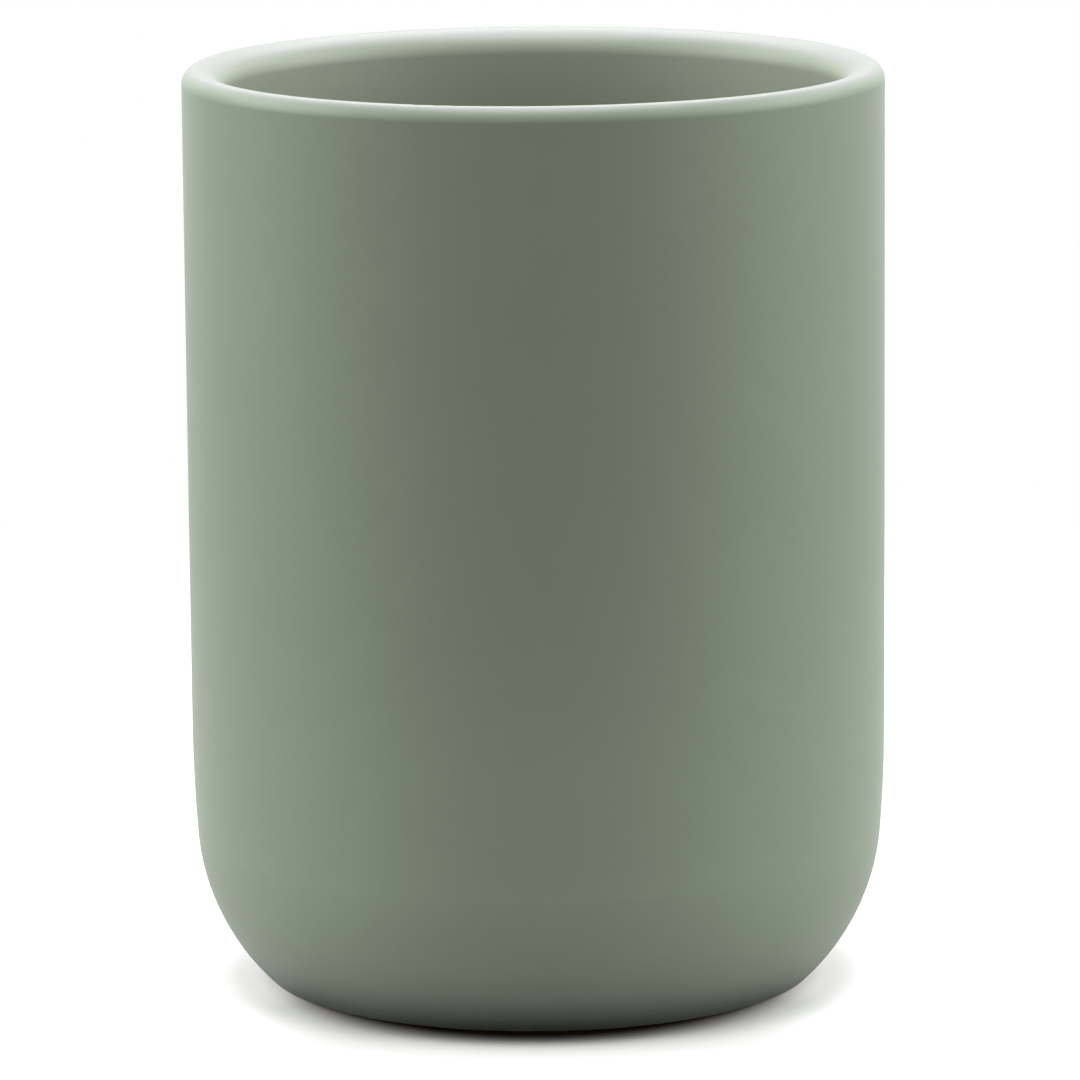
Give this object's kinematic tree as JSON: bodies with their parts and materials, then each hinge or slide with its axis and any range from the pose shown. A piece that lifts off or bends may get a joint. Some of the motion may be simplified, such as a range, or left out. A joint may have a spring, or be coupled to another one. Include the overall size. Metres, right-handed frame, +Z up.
{
  "type": "bathroom tumbler",
  "caption": "Straight-sided matt stoneware tumbler with a rounded lower corner, a softly rounded rim and a non-slip pad under its foot.",
  "frame": {"origin": "centre of the face that the tumbler rests on", "axes": "+Z up along the tumbler's axis, towards the rim; +X and +Y lie in the resting plane, and the part is round, so neither is preferred"},
  "size_m": [0.081, 0.081, 0.107],
  "materials": {
    "soft_touch_stoneware": "soft matt lacquer over cast stoneware, sage green inside and out",
    "adhesive_film": "clear pressure-sensitive film",
    "pad_rubber": "closed-cell foam rubber, fine skin"
  },
  "bodies": {
    "root": {"cup_body": "soft_touch_stoneware", "pad_adhesive": "adhesive_film", "base_pad": "pad_rubber"}
  },
  "joints": []
}
